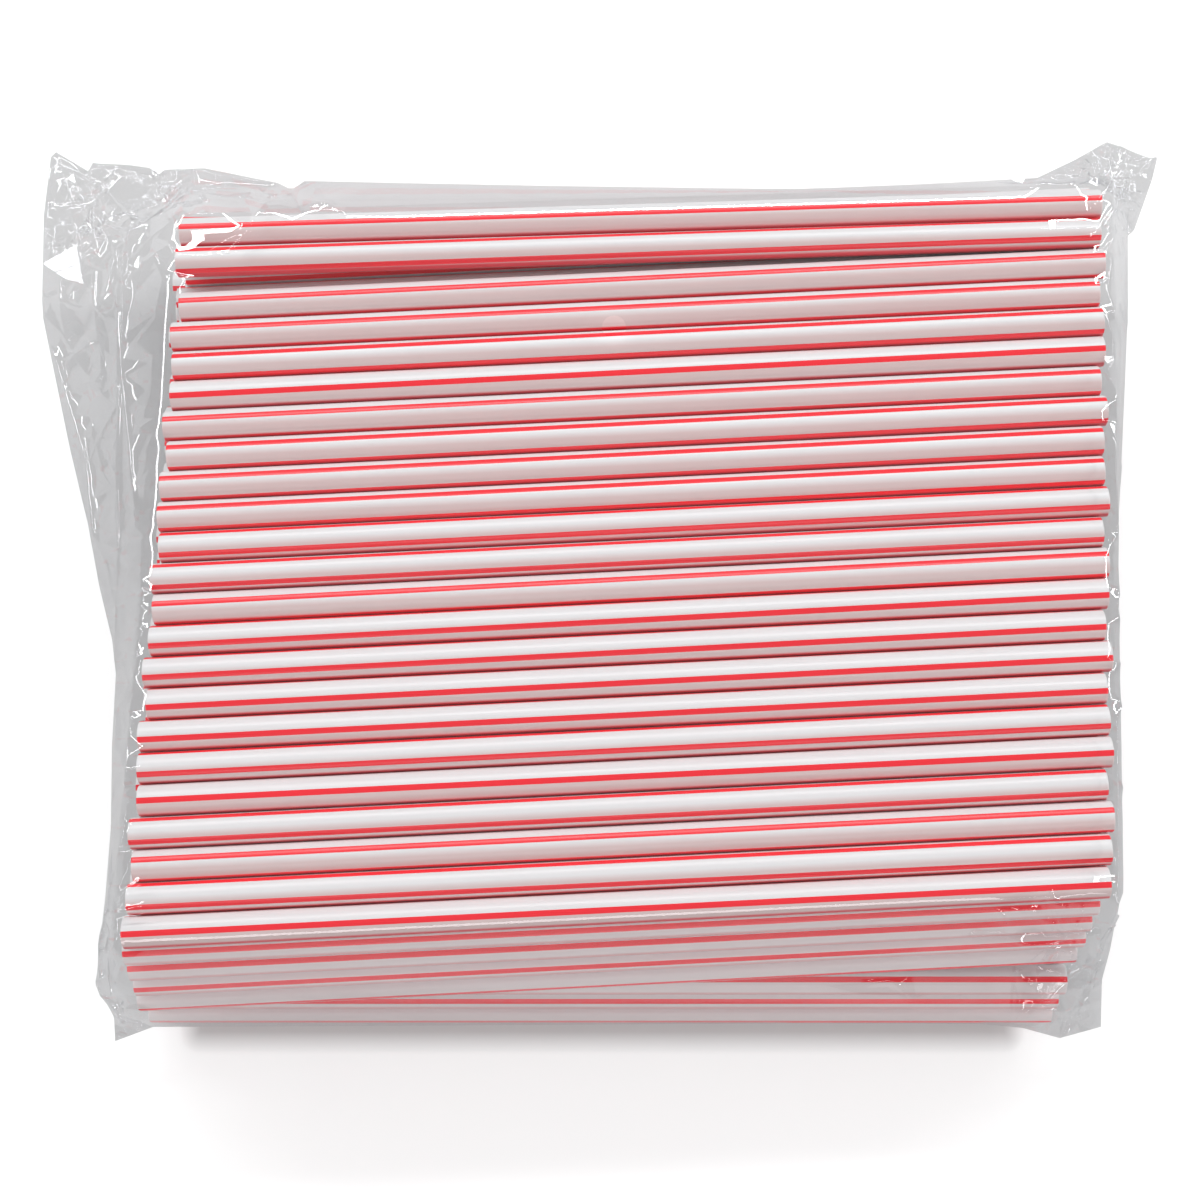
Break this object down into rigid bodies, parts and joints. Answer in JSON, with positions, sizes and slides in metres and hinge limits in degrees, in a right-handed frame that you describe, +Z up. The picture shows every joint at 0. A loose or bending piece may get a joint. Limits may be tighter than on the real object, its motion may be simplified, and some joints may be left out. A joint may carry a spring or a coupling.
{
  "type": "film-wrapped pack of drinking straws",
  "caption": "Clear sealed film bag lying flat, filled with loose white drinking straws that have red lengthwise stripes.",
  "frame": {"origin": "middle of the pack's outline, on the surface that it lies on", "axes": "+X along the straws towards the tight end of the bag, +Y across them towards the back, +Z up"},
  "size_m": [0.2549, 0.1982, 0.0548],
  "materials": {
    "film": "clear gloss film",
    "straw": "satin white with red stripes"
  },
  "bodies": {
    "root": {"film_bag": "film", "top_straw_01": "straw", "top_straw_02": "straw", "top_straw_03": "straw", "top_straw_04": "straw", "top_straw_05": "straw", "top_straw_06": "straw", "top_straw_07": "straw", "top_straw_08": "straw", "top_straw_09": "straw", "top_straw_10": "straw", "top_straw_11": "straw", "top_straw_12": "straw", "top_straw_13": "straw", "top_straw_14": "straw", "top_straw_15": "straw", "top_straw_16": "straw", "top_straw_17": "straw", "top_straw_18": "straw", "top_straw_19": "straw", "top_straw_20": "straw", "top_straw_21": "straw", "top_straw_22": "straw", "top_straw_23": "straw", "front_straw_02": "straw", "front_straw_03": "straw", "front_straw_04": "straw", "front_straw_05": "straw", "front_straw_06": "straw", "front_straw_07": "straw", "front_straw_08": "straw", "front_straw_09": "straw", "straw_layer_02": "straw", "straw_layer_03": "straw", "straw_layer_04": "straw", "straw_layer_05": "straw", "straw_layer_06": "straw", "straw_layer_07": "straw", "straw_layer_08": "straw", "straw_layer_09": "straw"}
  },
  "joints": []
}
